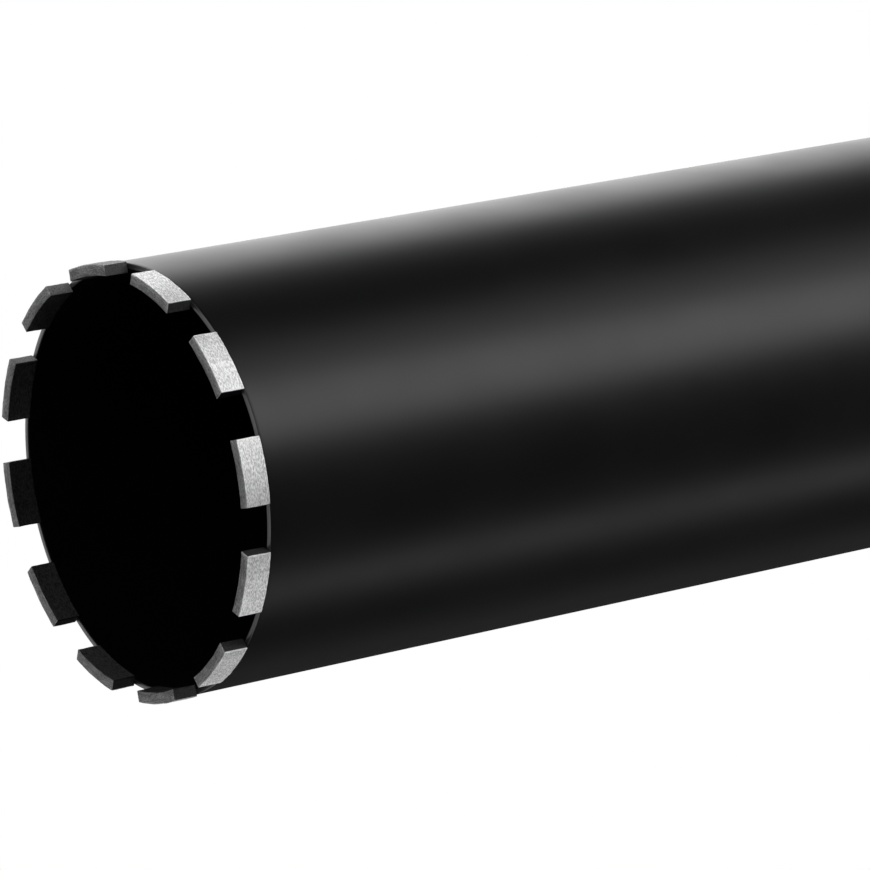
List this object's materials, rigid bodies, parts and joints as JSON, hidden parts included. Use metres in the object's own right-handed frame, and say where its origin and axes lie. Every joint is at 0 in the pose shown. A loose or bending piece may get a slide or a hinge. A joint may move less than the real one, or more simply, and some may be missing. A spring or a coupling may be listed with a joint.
{
  "type": "diamond core bit",
  "caption": "Wet diamond core bit: long black steel barrel with sintered cutting segments round its open end and a threaded hexagonal hub on its back plate.",
  "frame": {"origin": "centre of the crown's cutting plane, on the axis of rotation", "axes": "+Z along the axis of rotation, from the cutting plane to the hub; +X through the middle of segment_01"},
  "size_m": [0.162, 0.162, 0.49],
  "materials": {
    "barrel_paint": "smooth satin black paint",
    "plate_paint": "smooth satin black paint",
    "hub_steel": "satin black paint with a bare thread",
    "weld_paint": "rippled weld under black paint",
    "segment_metal": "grainy sintered metal"
  },
  "bodies": {
    "root": {"barrel": "barrel_paint", "back_plate": "plate_paint", "hub": "hub_steel", "rim_weld": "weld_paint", "hub_weld": "weld_paint", "segment_01": "segment_metal", "segment_02": "segment_metal", "segment_03": "segment_metal", "segment_04": "segment_metal", "segment_05": "segment_metal", "segment_06": "segment_metal", "segment_07": "segment_metal", "segment_08": "segment_metal", "segment_09": "segment_metal", "segment_10": "segment_metal", "segment_11": "segment_metal", "segment_12": "segment_metal"}
  },
  "joints": []
}
